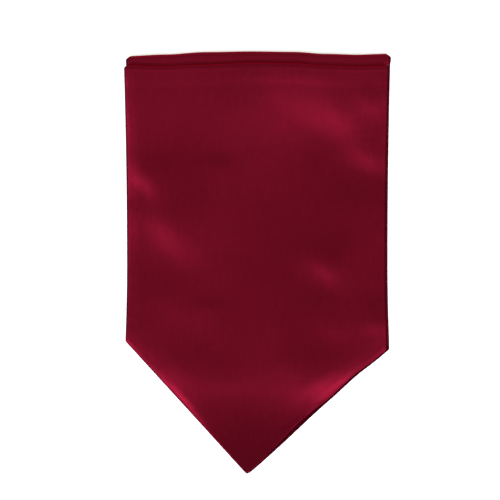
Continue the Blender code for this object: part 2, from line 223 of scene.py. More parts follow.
# The weave floats each yarn over five picks, and starts the next yarn's float two picks on
SATIN_REPEAT = 5.0
SATIN_STEP = 2.0
YARN_ROUND = 3.0  # how far a yarn falls away beside its crown
FLOAT_ROUND = 4.0  # and along its float
BINDING_HEIGHT = 0.55  # height of a binding point, as a share of the float's
WEAVE_BUMP = 0.7
SLUB_BUMP = 0.4
BUMP_STRENGTH = 0.5

# Unevenness of the satin: features to a metre across and along the warp, detail, and its shade
Uneven = namedtuple("Uneven", "scale stretch detail shade")
SLUB = Uneven(900.0, 0.08, 3.0, 0.14)
GRAIN = Uneven(420.0, 1.0, 2.0, 0.2)
MOTTLE = Uneven(34.0, 1.0, 4.0, 0.2)
SLUB_GLOSS = 0.05

# Painted shade and light: the panels are one satin, drawn as darker or lighter copies of the face's
# colour, as shares of it. The reverse and the folded layers get painted shade for lying deeper, and the
# second blade gets painted light against the shadow of the fold above it
REVERSE_PAINTED_SHADE = 0.8
UNDER_PAINTED_LIGHT = 1.4
FOLDED_PAINTED_SHADE = 0.7

# Painted light beside a fold: the cloth's colour is made a little lighter there, which lifts the shadow
# in the crease
PaintedFoldLight = namedtuple("PaintedFoldLight", "start reach light")
FACE_PAINTED_FOLD_LIGHT = PaintedFoldLight(1.5 * MM, 9.0 * MM, 0.38)
BAND_PAINTED_FOLD_LIGHT = PaintedFoldLight(0.1 * MM, 2.6 * MM, 0.8)

# Painted shade on the turn of a fold, which dims the bright reflection along its edge: which fold,
# how far in, how much
Turn = namedtuple("Turn", "fold reach shade")
FACE_PAINTED_FOLD_SHADE = Turn("first", 1.5 * MM, 0.38)
BAND_PAINTED_FOLD_SHADE = Turn("second", 1.3 * MM, 0.35)

# Painted shade along a seam, where the edge and the gap beside it lie in shadow: how far in, at the
# sides and at the point, and how dark
PaintedSeamShade = namedtuple("PaintedSeamShade", "side point shade")
FACE_PAINTED_SEAM_SHADE = PaintedSeamShade(1.2 * MM, 1.8 * MM, 0.15)
UNDER_PAINTED_SEAM_SHADE = PaintedSeamShade(1.0 * MM, 5.0 * MM, 0.05)
PAINTED_SEAM_SHADE_RUN = 10.0 * MM

# The point is pressed flat and so is a little glossier; its colour is also darkened towards the tip,
# which is painted shade
TIP_GLOSS_SHADE_Y = -78.0 * MM
TIP_GLOSS_SHADE_RUN = 26.0 * MM
PRESSED_GLOSS = 0.05
TIP_PAINTED_SHADE = 0.07

# Stitches lie in the groove of a seam, this far in from its edge, and stray by a share of the thread
STITCH_INSET = 0.25 * MM
STITCH_STRAY = 0.2
THREAD_ROUGHNESS = 0.5
THREAD_SHINE = 0.2

# The soft lights: power in watts, place, the two sides of each, and its colour
Lamp = namedtuple("Lamp", "name power place size colour")
COOL = (0.96, 1.0, 1.35)
WHITE = (1.0, 1.0, 1.0)
LIGHTS = (
    Lamp("light_right", 152.0, (1.29, -2.24, 3.83), (1.3, 1.3), COOL),
    Lamp("light_left", 152.0, (-1.92, -1.73, 3.83), (1.3, 1.3), COOL),
    Lamp("light_far", 4.0, (0.0, 2.00, 0.80), (2.6, 1.6), WHITE),
    Lamp("light_side_left", 9.0, (-1.9, 0.15, 0.85), (1.4, 0.7), WHITE),
    Lamp("light_side_right", 5.0, (1.9, 0.15, 0.85), (1.4, 0.7), WHITE),
)

FLOOR_ROUGHNESS = 0.9

# The photograph's width and middle, at the height of the front blade
PHOTO_WIDTH = 305.35 * MM
PHOTO_X = -4.52 * MM
PHOTO_Y = 7.60 * MM
PHOTO_Z = 4.0 * MM

# Fineness of the meshes
EDGE_STEPS = tuple(step * MM for step in (0.0, 0.08, 0.25, 0.5, 0.85, 1.3, 1.8, 2.3, 2.8, 3.2))
EDGE_STEPS += tuple(step * MM for step in (4.0, 5.0, 6.2, 7.6, 9.0))
FACE_SPACING = 1.5 * MM
PLAIN_SPACING = 3.0 * MM
ROLL_ROWS = 20
RETURN_ROWS = 12
TIP_POINTS = 5
CORNER_POINTS = 30
NECK_POINTS = 200
NECK_RINGS = (0.3, 0.5, 0.68, 0.84, 0.94)
LAYER_ROWS = 6

# The two blades: slip, radius and middle height of the fold, and 1 where the outer side faces up
Blade = namedtuple("Blade", "name slip_x lift_y roll middle up")
FIRST = Blade("first", 0.0, 0.0, TOP_ROLL, TOP_BASE + TOP_ROLL, 1)
SECOND = Blade("second", SLIP_X, LIFT_Y, UNDER_ROLL, UNDER_ROLL, -1)


class CravatCloth(bpy.types.PropertyGroup):
    swell_height: FloatProperty(
        name="Swell height",
        description="How high the soft crests in the front blade stand, as a share of their real height",
        default=1.0,
        min=0.0,
        max=2.0,
        subtype="FACTOR",
    )
    yarn_pitch: FloatProperty(
        name="Yarn pitch",
        description="Distance from one warp yarn of the satin to the next",
        default=0.28 * MM,
        unit="LENGTH",
        precision=5,
    )
    yarn_depth: FloatProperty(
        name="Yarn depth",
        description="How far the satin's floats stand above its binding points",
        default=0.02 * MM,
        unit="LENGTH",
        precision=6,
    )
    stitch_pitch: FloatProperty(
        name="Stitch pitch",
        description="Distance from one seam stitch to the next",
        default=2.6 * MM,
        unit="LENGTH",
        precision=4,
    )
    stitch_length: FloatProperty(
        name="Stitch length",
        description="Length of the thread that shows in a seam stitch",
        default=1.9 * MM,
        unit="LENGTH",
        precision=4,
    )
    thread_thickness: FloatProperty(
        name="Thread thickness",
        description="Thickness of the sewing thread",
        default=0.24 * MM,
        unit="LENGTH",
        precision=5,
    )


class CravatColours(bpy.types.PropertyGroup):
    satin: FloatVectorProperty(
        name="Satin",
        description="Colour of the satin's face",
        subtype="COLOR",
        default=(0.126, 0.0035, 0.0104),
        min=0.0,
        max=1.0,
    )
    sheen: FloatVectorProperty(
        name="Sheen",
        description="Colour that the satin's gloss takes",
        subtype="COLOR",
        default=(0.42, 0.055, 0.20),
        min=0.0,
        max=1.0,
    )
    thread: FloatVectorProperty(
        name="Thread",
        description="Colour of the sewing thread",
        subtype="COLOR",
        default=(0.11, 0.004, 0.014),
        min=0.0,
        max=1.0,
    )


class CravatStage(bpy.types.PropertyGroup):
    floor_size: FloatProperty(
        name="Floor size", description="Side of the floor", default=6.0, unit="LENGTH"
    )
    floor_colour: FloatVectorProperty(
        name="Floor colour",
        description="Colour of the plain floor",
        subtype="COLOR",
        default=(0.92, 0.90, 0.76),
        min=0.0,
        max=1.0,
    )
    floor_glow: FloatProperty(
        name="Floor glow", description="Light that comes through the floor from below", default=0.5
    )
    camera_lens: FloatProperty(
        name="Lens", description="Focal length in millimetres", default=180.0
    )
    sky: FloatProperty(
        name="Sky", description="Brightness of the plain surroundings", default=0.40
    )
    light: FloatProperty(
        name="Light", description="Share of their stated power that the lights give", default=1.0
    )
    seed: IntProperty(
        name="Seed", description="Seed of the small irregularities", default=7
    )


def ease(t):
    """0 below 0, 1 above 1, and a smooth rise between them."""
    t = np.clip(t, 0.0, 1.0)
    return t * t * (3 - 2 * t)


def half_width(y):
    """Half of a blade's width at y."""
    above = np.maximum(y - WAIST_Y, 0.0) / (FOLD_Y - WAIST_Y)
    below = np.clip((y - WAIST_Y) / (SHOULDER_LEFT_Y - WAIST_Y), 0.0, 1.0)
    return WAIST_HALF + FLARE_TOP * above**2 + FLARE_SHOULDER * below**2


def point_edge(x, blade):
    """Height y of a blade's pointed edge at x, before its slip."""
    half = WAIST_HALF + FLARE_SHOULDER
    left = x < TIP_X
    reach = np.where(left, TIP_X - (BLADE_X - half), BLADE_X + half - TIP_X)
    shoulder = np.where(left, SHOULDER_LEFT_Y, SHOULDER_RIGHT_Y)
    share = (np.hypot(x - TIP_X, TIP_ROUND) - TIP_ROUND) / (np.hypot(reach, TIP_ROUND) - TIP_ROUND)
    bow = 0.0
    for hollow in HOLLOWS:
        depth = getattr(hollow, blade.name)
        bow = bow + depth * np.exp(-(((share - hollow.at) / hollow.width) ** 2))
    return TIP_Y + blade.lift_y + share * (shoulder - TIP_Y) + np.where(left, 0.0, bow)


def fold_line(x, which):
    """The far edge of a blade's fold at x, smooth through the rows of FOLD_LINES."""
    places = np.array([row.x for row in FOLD_LINES])
    heights = np.array([getattr(row, which) for row in FOLD_LINES])
    x = np.clip(x, places[0], places[-1])
    at = np.clip(np.searchsorted(places, x) - 1, 0, len(places) - 2)
    t = ease((x - places[at]) / (places[at + 1] - places[at]))
    return heights[at] * (1 - t) + heights[at + 1] * t


def seam_distances(x, y, blade):
    """How far a place is in from the seam at its side, and from the seam at its point."""
    to_side = half_width(y) - np.abs(x - BLADE_X)
    to_point = (y - point_edge(x, blade)) * math.cos(POINT_ANGLE)
    return np.maximum(0.0, to_side), np.maximum(0.0, to_point)


def seam_distance(x, y, blade):
    """How far a place is in from the nearer of the two seams."""
    return np.minimum(*seam_distances(x, y, blade))


def levelled(distance):
    """0 below 0 and distance above, with the corner between them rounded."""
    near = np.clip(distance, -SLOPE_SOFT, SLOPE_SOFT) + SLOPE_SOFT
    return near**2 / (4 * SLOPE_SOFT) + np.maximum(0.0, distance - SLOPE_SOFT)


def waves(x, y, rows):
    """Sum of the soft crests and dips in these rows."""
    total = np.zeros_like(x)
    for row in rows:
        turn = math.radians(row.turn)
        along = (x - row.x) * math.cos(turn) + (y - row.y) * math.sin(turn)
        beside = (y - row.y) * math.cos(turn) - (x - row.x) * math.sin(turn)
        width = np.where(beside < 0, row.near, row.far)
        total += row.rise * np.exp(-((along / row.length) ** 2) - (beside / width) ** 2)
    return total


def edge_drop(distance, reach):
    """1 at an edge and 0 at this reach in from it, steepest at the edge."""
    return (1 - np.minimum(1.0, distance / reach)) ** 2


def clear_of_fold(x, y):
    """0 where the first blade's fold begins, and 1 at some way from it."""
    from_fold = fold_line(x, FIRST.name) - FIRST.roll - y
    return ease(from_fold / SWELL_FROM_FOLD)


def support(x, y):
    """Height of the first blade's face over the layers below, without its fine relief."""
    side, point = seam_distances(x, y, FIRST)
    side_sag = SIDE_SAG * ease((SAG_FROM_Y - y) / (SAG_FROM_Y - SAG_FULL_Y))
    kept = (1 - side_sag * edge_drop(side, SAG_REACH)) * (1 - POINT_SAG * edge_drop(point, SAG_REACH))
    up = (levelled(y - FOOT_Y) - levelled(y - HEAD_Y)) / (HEAD_Y - FOOT_Y)
    stack = (TOP_HIGH - TOP_LOW - STEP_DROP) * up * (FOOT_SHARE + (1 - FOOT_SHARE) * up)
    step_y = STEP_Y + STEP_LIFT * (x / STEP_X) ** 2
    stack += STEP_DROP * ease((y - step_y) / STEP_RUN + 0.5)
    clear = clear_of_fold(x, y)
    droop = LEFT_DROOP * edge_drop(side, DROOP_REACH) * (x < BLADE_X)
    stack -= droop * ease((y - DROOP_Y) / DROOP_RUN) * clear
    curl = CURL_RISE * (np.maximum(0.0, CURL_Y - y) / (CURL_Y - TIP_Y)) ** 2
    return TOP_LOW + stack * kept + curl + waves(x, y, DRAPES) * clear


def ripple(x, y, size, seed):
    """Smooth noise from about -1 to 1 with features of this size, one value for each point."""
    flat = np.stack([x.ravel(), y.ravel()], 1) / size
    values = [noise.noise(Vector((a, b, seed))) for a, b in flat]
    return np.array(values).reshape(x.shape)


def relief(x, y, seed):
    """What stands on the front blade's plain form: swells, the seam's ridge and its puckers."""
    to_side, to_point = seam_distances(x, y, FIRST)
    from_seam = np.minimum(to_side, to_point)
    clear = clear_of_fold(x, y)
    swell_height = bpy.context.scene.cravat_cloth.swell_height
    high = swell_height * waves(x, y, SWELLS) * clear * ease(from_seam / SWELL_FROM_SEAM)
    pucker = PUCKER_RISE * ripple(x, y, PUCKER_LENGTH, seed)
    pucker *= np.exp(-from_seam / PUCKER_REACH) * ease(from_seam / RIDGE_AT)
    ridge = RIDGE_RISE * np.exp(-(((from_seam - RIDGE_AT) / RIDGE_HALF) ** 2))
    ridge -= RIM_DROP * edge_drop(to_point, RIM_REACH)
    ridge *= 1 + RIDGE_UNEVEN * ripple(x, y, UNEVEN_LENGTH, seed + UNEVEN_SEED)
    return high + (ridge + pucker) * clear


def shares(low, high, spacing):
    """Evenly spaced values from low to high, both included, about spacing apart."""
    return np.linspace(low, high, max(2, round((high - low) / spacing) + 1))


def columns(spacing):
    """Places across a blade from -1 to 1, close together at the seams and at the tip."""
    half = WAIST_HALF + FLARE_SHOULDER
    steps = np.array(EDGE_STEPS)
    tip = TIP_X - BLADE_X
    near = tip + np.linspace(-TIP_ROUND, TIP_ROUND, TIP_POINTS)
    left = shares(-half + steps[-1], near[0], spacing)[1:-1]
    right = shares(near[-1], half - steps[-1], spacing)[1:-1]
    return np.concatenate([-half + steps, left, near, right, (half - steps)[::-1]]) / half


def blade_grid(blade, depth, face, spacing):
    """Points of one skin of a blade: over its flat run, round its fold and back underneath.

    face gives the height of the blade's outermost surface, and depth how far the skin lies under it,
    from the distance to the seam. Returns the points, their place on the flat cloth and their distance
    from the seam.
    """
    across = columns(spacing)
    half = half_width(FOLD_Y)
    low = point_edge(BLADE_X + across * (WAIST_HALF + FLARE_SHOULDER), blade)
    high = fold_line(BLADE_X + across * half, blade.name) - blade.roll
    steps = np.array(EDGE_STEPS)
    inner = shares(0.0, 1.0, spacing / (FOLD_Y - TIP_Y))[1:-1]
    y = np.concatenate(
        [low + steps[:, None], low + steps[-1] + inner[:, None] * (high - low - steps[-1])]
    )
    x = BLADE_X + across * half_width(y)
    from_seam = seam_distance(x, y, blade)
    z = face(x, y) - blade.up * depth(from_seam)
    flat = np.stack([x + blade.slip_x, y, z], -1)
    flat_cloth = np.stack([x, y], -1)

    edge = half * (1 - np.abs(across))
    turns = np.linspace(0, math.pi, ROLL_ROWS + 1)[:, None]
    x = np.broadcast_to(BLADE_X + across * half, (len(turns), len(across)))
    radius = blade.roll - depth(edge)
    past = 1 - blade.roll * (1 - np.sin(turns)) / FOLD_ROUND
    rounding = FOLD_ROUND * (1 - np.sqrt(1 - np.clip(past, 0.0, 1.0) ** 2))
    roll = np.stack(
        [
            x - across * rounding + blade.slip_x,
            high + radius * np.sin(turns),
            blade.middle + blade.up * radius * np.cos(turns),
        ],
        -1,
    )
    roll_cloth = np.stack([x, high + blade.roll * turns], -1)

    back = np.linspace(0, 1, RETURN_ROWS + 1)[1:, None]
    x = BLADE_X + across * (half - (half - RETURN_HALF) * ease(back))
    y = high + back * (RETURN_END_Y - high)
    z = np.broadcast_to(blade.middle - blade.up * radius, x.shape)
    under = np.stack([x + blade.slip_x * (1 - back), y, z], -1)
    under_cloth = np.stack([x, high + math.pi * blade.roll + (high - y)], -1)

    points = np.concatenate([flat, roll, under])
    cloth = np.concatenate([flat_cloth, roll_cloth, under_cloth])
    seam = np.concatenate([from_seam, np.broadcast_to(edge, (len(turns) + len(back), len(edge)))])
    return points, cloth, seam


def rounded_off(distance, most, reach):
    """How much of a panel's thickness is missing this far in from its seam, with most at the seam."""
    t = 1 - np.clip(distance / reach, 0.0, 1.0)
    return most * (1 - np.sqrt(1 - t * t))


def border_of(rows, cols):
    """Flat indices round a grid's border, in order."""
    index = np.arange(rows * cols).reshape(rows, cols)
    return np.concatenate([index[0], index[1:, -1], index[-1, -2::-1], index[-2:0:-1, 0]])


def grid_faces(rows, cols, start, flipped):
    """Four corners of each face of a grid of points whose first index is start."""
    index = np.arange(rows * cols).reshape(rows, cols) + start
    a, b, c, d = index[:-1, :-1], index[:-1, 1:], index[1:, 1:], index[1:, :-1]
    loops = (a, d, c, b) if flipped else (a, b, c, d)
    return np.stack([corner.ravel() for corner in loops], 1)


def piece(name, points, faces, cloth, seam, material):
    """A finished mesh object that keeps its cloth map and its distances to the seam and the folds."""
    mesh = bpy.data.meshes.new(name)
    mesh.from_pydata(points.tolist(), [], faces)
    layer = mesh.uv_layers.new(name="cloth")
    corners = np.zeros(len(mesh.loops), np.int32)
    mesh.loops.foreach_get("vertex_index", corners)
    layer.data.foreach_set("uv", (cloth[corners] - [2 * BLADE_X, TIP_Y]).astype(np.float32).ravel())
    fields = {"seam": seam}
    for blade in (FIRST, SECOND):
        fields[blade.name] = np.abs(points[:, 1] - fold_line(points[:, 0], blade.name))
    for field, values in fields.items():
        attribute = mesh.attributes.new(field, "FLOAT", "POINT")
        attribute.data.foreach_set("value", values.astype(np.float32))
    mesh.shade_smooth()
    mesh.materials.append(material)
    made = bpy.data.objects.new(name, mesh)
    bpy.context.scene.collection.objects.link(made)
    check_outward(made)
    return made


def check_outward(made):
    """Turns a closed piece's faces outwards, and raises an error if it has an open edge."""
    shape = bmesh.new()
    shape.from_mesh(made.data)
    if any(not edge.is_manifold for edge in shape.edges):
        raise RuntimeError(f"{made.name} has an open edge")
    if shape.calc_volume(signed=True) < 0:
        bmesh.ops.reverse_faces(shape, faces=shape.faces)
        shape.to_mesh(made.data)
    shape.free()


def wall(name, outer, inner, material, rim=()):
    """A closed wall between two skins from blade_grid, with optional loops of points in its rim."""
    rows, cols = outer[0].shape[:2]
    count = rows * cols
    border = border_of(rows, cols)
    points = [outer[0].reshape(-1, 3), inner[0].reshape(-1, 3)]
    cloth = [outer[1].reshape(-1, 2), inner[1].reshape(-1, 2)]
    seam = [outer[2].ravel(), inner[2].ravel()]
    faces = [grid_faces(rows, cols, 0, False), grid_faces(rows, cols, count, True)]
    loops = [border]
    for extra, loop in enumerate(rim):
        loops.append(np.arange(len(border)) + 2 * count + extra * len(border))
        points.append(loop)
        cloth.append(cloth[0][border])
        seam.append(np.zeros(len(border)))
    loops.append(border + count)
    for one, other in zip(loops, loops[1:]):
        after, beyond = np.roll(one, -1), np.roll(other, -1)
        faces.append(np.stack([one, other, beyond, after], 1))
    points, cloth, seam = (np.concatenate(parts) for parts in (points, cloth, seam))
    return piece(name, points, np.concatenate(faces).tolist(), cloth, seam, material)


class Maths:
    """A socket that adds Math nodes when it is used in an expression."""

    def __init__(self, build, socket):
        self.build = build
        self.socket = socket

    def join(self, operation, first, second):
        node = self.build.add("Math", {"operation": operation}, {0: first, 1: second})
        return Maths(self.build, node.outputs[0])

    def __add__(self, other):
        return self.join("ADD", self, other)

    __radd__ = __add__

    def __sub__(self, other):
        return self.join("SUBTRACT", self, other)

    def __rsub__(self, other):
        return self.join("SUBTRACT", other, self)

    def __mul__(self, other):
        return self.join("MULTIPLY", self, other)

    def __truediv__(self, other):
        return self.join("DIVIDE", self, other)

    def floor(self):
        return self.join("FLOOR", self, 0.0)

    def fract(self):
        return self.join("FRACT", self, 0.0)

    def least(self, other):
        return self.join("MINIMUM", self, other)

    def most(self, other):
        return self.join("MAXIMUM", self, other)


class Build:
    """Adds nodes to one material."""

    def __init__(self, name):
        self.material = bpy.data.materials.new(name)
        self.material.use_nodes = True
        self.tree = self.material.node_tree
        self.shader = self.tree.nodes["Principled BSDF"]

    def add(self, kind, settings=None, inputs=None):
        """A node of this type, with its settings made first and then its sockets' values or links."""
        node = self.tree.nodes.new("ShaderNode" + kind)
        for name, value in (settings or {}).items():
            setattr(node, name, value)
        for key, value in (inputs or {}).items():
            self.feed(node.inputs[key], value)
        return node

    def feed(self, socket, value):
        if isinstance(value, Maths):
            value = value.socket
        if isinstance(value, bpy.types.NodeSocket):
            self.tree.links.new(value, socket)
        else:
            socket.default_value = value

    def value(self, node, output=0):
        return Maths(self, node.outputs[output])

    def attribute(self, name):
        """A value that the piece's mesh keeps at each point."""
        return self.value(self.add("Attribute", {"attribute_name": name}), "Fac")

    def noise(self, place, uneven):
        """Noise about 0 on this place, with the features of a row of unevenness."""
        if uneven.stretch != 1.0:
            stretched = {"Vector": place, "Scale": (1.0, uneven.stretch, 1.0)}
            place = self.add("Mapping", None, stretched).outputs[0]
        settings = {"Vector": place, "Scale": uneven.scale, "Detail": uneven.detail}
        return self.value(self.add("TexNoise", None, settings)) - 0.5

    def surface(self, **inputs):
        """The material, with these values or links on its shader's sockets."""
        for name, value in inputs.items():
            self.feed(self.shader.inputs[name.replace("_", " ").title().replace("Ior", "IOR")], value)
        return self.material


def weave(warp, weft):
    """Height of a satin weave from 0 to 1: long floats, each over the crown of its yarn."""
    row = warp.floor()
    across = (warp - row) - 0.5
    along = ((weft + row * SATIN_STEP) / SATIN_REPEAT).fract() - 0.5
    crown = 1.0 - across * across * YARN_ROUND
    floating = (1.0 - along * along * FLOAT_ROUND).most(0.0)
    return crown * (BINDING_HEIGHT + floating * (1.0 - BINDING_HEIGHT))


def painted_fold_light_and_shade(build, fold_light, turn):
    """Painted light and shade on a fold: lighter in colour beside it, darker on its turn."""
    beside = build.attribute(FIRST.name)
    # Painted light beside the first blade's fold
    painted_light = (beside / fold_light.start).least(1.0) * (1.0 - beside / fold_light.reach).most(0.0)
    # Painted shade on the turn of the fold that turn names
    painted_shade = (1.0 - build.attribute(turn.fold) / turn.reach).most(0.0)
    return 1.0 + painted_light * fold_light.light - painted_shade * turn.shade


def satin(name, colour, fold_light=FACE_PAINTED_FOLD_LIGHT, seam_shade=FACE_PAINTED_SEAM_SHADE, turn=FACE_PAINTED_FOLD_SHADE):
    """Satin: a warp-faced weave with long floats, glossy, with painted shade along the seams, at the tip
    and on the turn of a fold, and painted light beside the folds.
    """
    cloth = bpy.context.scene.cravat_cloth
    tint = bpy.context.scene.cravat_colours.sheen
    build = Build(name)
    place = build.add("UVMap", {"uv_map": "cloth"}).outputs[0]
    split = build.add("SeparateXYZ", None, {0: place})
    up = build.value(split, "Y")
    slub, grain, mottle = (build.noise(place, uneven) for uneven in (SLUB, GRAIN, MOTTLE))
    woven = weave(build.value(split, "X") / cloth.yarn_pitch, up / cloth.yarn_pitch)
    height = woven * WEAVE_BUMP + slub * SLUB_BUMP
    relief_inputs = {"Strength": BUMP_STRENGTH, "Distance": cloth.yarn_depth, "Height": height}
    bump = build.add("Bump", None, relief_inputs)

    # Painted shade: the colour is darkened along the seams, further in at the point than at the sides
    below = (SHOULDER_LEFT_Y - TIP_Y - up) / PAINTED_SEAM_SHADE_RUN
    reach = seam_shade.side + below.most(0.0).least(1.0) * (seam_shade.point - seam_shade.side)
    seam_painted_shade = (1.0 - build.attribute("seam") / reach).most(0.0)
    # Towards the tip: a little more gloss, and painted shade in the colour
    tip_gloss_and_shade = ((TIP_GLOSS_SHADE_Y - TIP_Y - up) / TIP_GLOSS_SHADE_RUN).most(0.0).least(1.0)
    level = 1.0 + slub * SLUB.shade + grain * GRAIN.shade + mottle * MOTTLE.shade
    level = (level - seam_painted_shade * (1.0 - seam_shade.shade)) * (1.0 - tip_gloss_and_shade * TIP_PAINTED_SHADE)
    # Painted light beside the folds and painted shade on their turn
    level = level * painted_fold_light_and_shade(build, fold_light, turn)
    grey = build.add("CombineColor", None, {0: level, 1: level, 2: level})
    base = build.add(
        "Mix",
        {"data_type": "RGBA", "blend_type": "MULTIPLY"},
        {0: 1.0, 6: (*colour, 1.0), 7: grey.outputs[0]},
    )
    return build.surface(
        base_color=base.outputs[2],
        metallic=METALLIC,
        specular_ior_level=0.0,
        roughness=ROUGHNESS + slub * SLUB_GLOSS - tip_gloss_and_shade * PRESSED_GLOSS,
        normal=bump.outputs[0],
        specular_tint=(*tint, 1.0),
    )


def neck_outline():
    """Places round the folded neck band and the way out from each, evenly spaced, as two arrays."""
    corners = (
        (NECK_HALF, NECK_BOTTOM_Y, NECK_BOTTOM_ROUND, -90),
        (NECK_HALF, NECK_TOP_Y, NECK_TOP_ROUND, 0),
        (-NECK_HALF, NECK_TOP_Y, NECK_TOP_ROUND, 90),
        (-NECK_HALF, NECK_BOTTOM_Y, NECK_BOTTOM_ROUND, 180),
    )
    line = []
    for x, y, radius, start in corners:
        angles = np.radians(start + np.linspace(0, 90, CORNER_POINTS))
        out = np.stack([np.cos(angles), np.sin(angles)], 1)
        centre = [x - math.copysign(radius, x), y - math.copysign(radius, y)]
        line.append(np.concatenate([centre + radius * out, out], 1))
    line = np.concatenate(line + [line[0][:1]])
    run = np.concatenate([[0], np.cumsum(np.hypot(*np.diff(line[:, :2], axis=0).T))])
    even = np.linspace(0, run[-1], NECK_POINTS, endpoint=False)
    spread = np.stack([np.interp(even, run, column) for column in line.T], 1)
    return spread[:, :2], spread[:, 2:]


def folded_layer(place, out, layer):
    """Points of one folded layer, ring by ring from the middle of its underside to that of its top."""
    floor = UNDER_WALL + SEAM_GAP
    turn = LAYER_WAVES * np.arange(NECK_POINTS) / NECK_POINTS
    middle = np.array([0.0, NECK_MIDDLE_Y])

    def ring(part, shrink=1.0):
        recess = LAYER_GROOVE * (1 - math.sqrt(max(0.0, 1 - (2 * part - 1) ** 2)))
        wander = LAYER_WANDER * np.sin(2 * math.pi * (turn + (layer + 0.5) / len(LAYER_STEPS)))
        crinkle = ripple(place[:, 0], place[:, 1], CRINKLE_LENGTH, CRINKLE_SEED + layer)
        inset = LAYER_STEPS[layer] + recess + wander + LAYER_CRINKLE * crinkle
        spot = middle + (place - inset[:, None] * out - middle) * shrink
        high = support(spot[:, 0], spot[:, 1]) - 2 * PANEL - SEAM_GAP - NECK_ROOM
        share = (layer + LAYER_GAP + (1 - 2 * LAYER_GAP) * part) / len(LAYER_STEPS)
        return np.column_stack([spot[:, 0] + BLADE_X, spot[:, 1], floor + (high - floor) * share])

    rings = [ring(0.0, shrink) for shrink in NECK_RINGS]
    rings += [ring(row / LAYER_ROWS) for row in range(LAYER_ROWS + 1)]
    return rings + [ring(1.0, shrink) for shrink in NECK_RINGS[::-1]]


def layer_faces(start, rings):
    """Faces of one folded layer: the bands between its rings, and a cap at each end."""
    index = start + np.arange(rings * NECK_POINTS).reshape(rings, NECK_POINTS)
    lower, upper = index[:-1], index[1:]
    bands = np.stack([lower, np.roll(lower, -1, 1), np.roll(upper, -1, 1), upper], -1)
    return bands.reshape(-1, 4).tolist() + [index[0, ::-1].tolist(), index[-1].tolist()]


def seam_line(blade, face):
    """Places along a blade's seam: up its left side, round the point and up its right side."""
    top = FOLD_Y - 2 * EDGE_ROLL
    half = WAIST_HALF + FLARE_SHOULDER
    side = shares(SHOULDER_RIGHT_Y, top, FACE_SPACING)
    across = shares(-half, half, FACE_SPACING)
    low = point_edge(BLADE_X + across, blade)
    left, right = side[side > low[0]], side[side > low[-1]]
    x = np.concatenate([-half_width(left)[::-1], across, half_width(right)])
    x = x * (1 - STITCH_INSET / half) + BLADE_X
    y = np.concatenate([left[::-1], low, right]) + STITCH_INSET
    return np.stack([x + blade.slip_x, y, face(x, y)], 1)


def stitch_tree():
    """Node group that lays stitches along a line, with its lengths as inputs."""
    tree = bpy.data.node_groups.new("stitches", "GeometryNodeTree")
    sockets = tree.interface
    sockets.new_socket("Line", in_out="INPUT", socket_type="NodeSocketGeometry")
    for name in ("Pitch", "Length", "Thickness", "Stray"):
        sockets.new_socket(name, in_out="INPUT", socket_type="NodeSocketFloat")
    sockets.new_socket("Seed", in_out="INPUT", socket_type="NodeSocketInt")
    sockets.new_socket("Material", in_out="INPUT", socket_type="NodeSocketMaterial")
    sockets.new_socket("Stitches", in_out="OUTPUT", socket_type="NodeSocketGeometry")

    def add(kind, **settings):
        node = tree.nodes.new(kind)
        for name, value in settings.items():
            setattr(node, name, value)
        return node

    def link(source, output, target, entry):
        tree.links.new(source.outputs[output], target.inputs[entry])

    given, result = add("NodeGroupInput"), add("NodeGroupOutput")
    curve = add("GeometryNodeMeshToCurve")
    spaced = add("GeometryNodeResampleCurve", mode="LENGTH")
    moved = add("GeometryNodeSetPosition")
    stray = add("FunctionNodeRandomValue", data_type="FLOAT_VECTOR")
    back = add("ShaderNodeVectorMath", operation="SCALE")
    out = add("ShaderNodeCombineXYZ")
    thread = add("GeometryNodeMeshIcoSphere")
    lay = add("GeometryNodeInstanceOnPoints")
    along = add("FunctionNodeAlignRotationToVector", axis="X")
    tangent = add("GeometryNodeInputTangent")
    size = add("ShaderNodeCombineXYZ")
    real = add("GeometryNodeRealizeInstances")
    smooth = add("GeometryNodeSetShadeSmooth")
    dressed = add("GeometryNodeSetMaterial")
    # A ball 1 m across, which is then scaled to the stitch's length and thickness
    thread.inputs["Radius"].default_value = 0.5
    thread.inputs["Subdivisions"].default_value = 2
    back.inputs["Scale"].default_value = -1.0
    for axis in ("X", "Y", "Z"):
        link(given, "Stray", out, axis)
    link(given, "Line", curve, "Mesh")
    link(curve, "Curve", spaced, "Curve")
    link(given, "Pitch", spaced, "Length")
    link(spaced, "Curve", moved, "Geometry")
    link(out, "Vector", stray, "Max")
    link(out, "Vector", back, 0)
    link(back, "Vector", stray, "Min")
    link(given, "Seed", stray, "Seed")
    link(stray, "Value", moved, "Offset")
    link(moved, "Geometry", lay, "Points")
    link(thread, "Mesh", lay, "Instance")
    link(tangent, "Tangent", along, "Vector")
    link(along, "Rotation", lay, "Rotation")
    link(given, "Length", size, "X")
    link(given, "Thickness", size, "Y")
    link(given, "Thickness", size, "Z")
    link(size, "Vector", lay, "Scale")
    link(lay, "Instances", real, "Geometry")
    link(real, "Geometry", smooth, "Geometry")
    link(smooth, "Geometry", dressed, "Geometry")
    link(given, "Material", dressed, "Material")
    link(dressed, "Geometry", result, "Stitches")
    return tree


